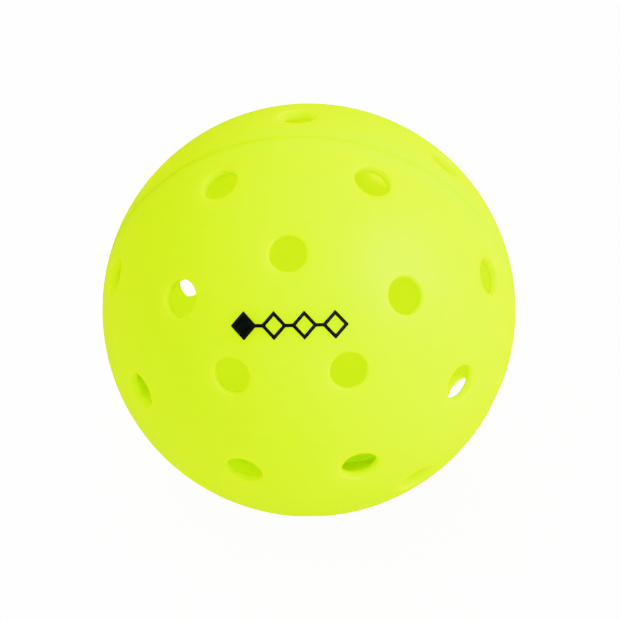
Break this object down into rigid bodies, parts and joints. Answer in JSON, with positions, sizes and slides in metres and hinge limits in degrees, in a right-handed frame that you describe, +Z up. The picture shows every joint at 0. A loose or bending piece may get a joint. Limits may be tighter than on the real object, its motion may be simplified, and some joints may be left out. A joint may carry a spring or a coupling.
{
  "type": "pickleball ball",
  "caption": "Hollow perforated plastic ball for pickleball, welded from two half shells, with round air holes and a small printed mark.",
  "frame": {"origin": "centre of the ball", "axes": "+Z up; the weld between the two halves lies in the XZ plane; the pole of the front half, which carries the print, points along -Y and the rear half's pole along +Y"},
  "size_m": [0.074, 0.074, 0.074],
  "materials": {
    "front_shell_plastic": "satin neon yellow-green polyethylene, slightly translucent",
    "rear_shell_plastic": "satin neon yellow-green polyethylene, slightly translucent",
    "weld_bead_plastic": "remelted neon yellow-green polyethylene, glossier than the walls",
    "printed_ink": "satin black pad-printing ink"
  },
  "bodies": {
    "root": {"front_half_shell": "front_shell_plastic", "rear_half_shell": "rear_shell_plastic", "weld_bead": "weld_bead_plastic", "printed_mark": "printed_ink"}
  },
  "joints": []
}
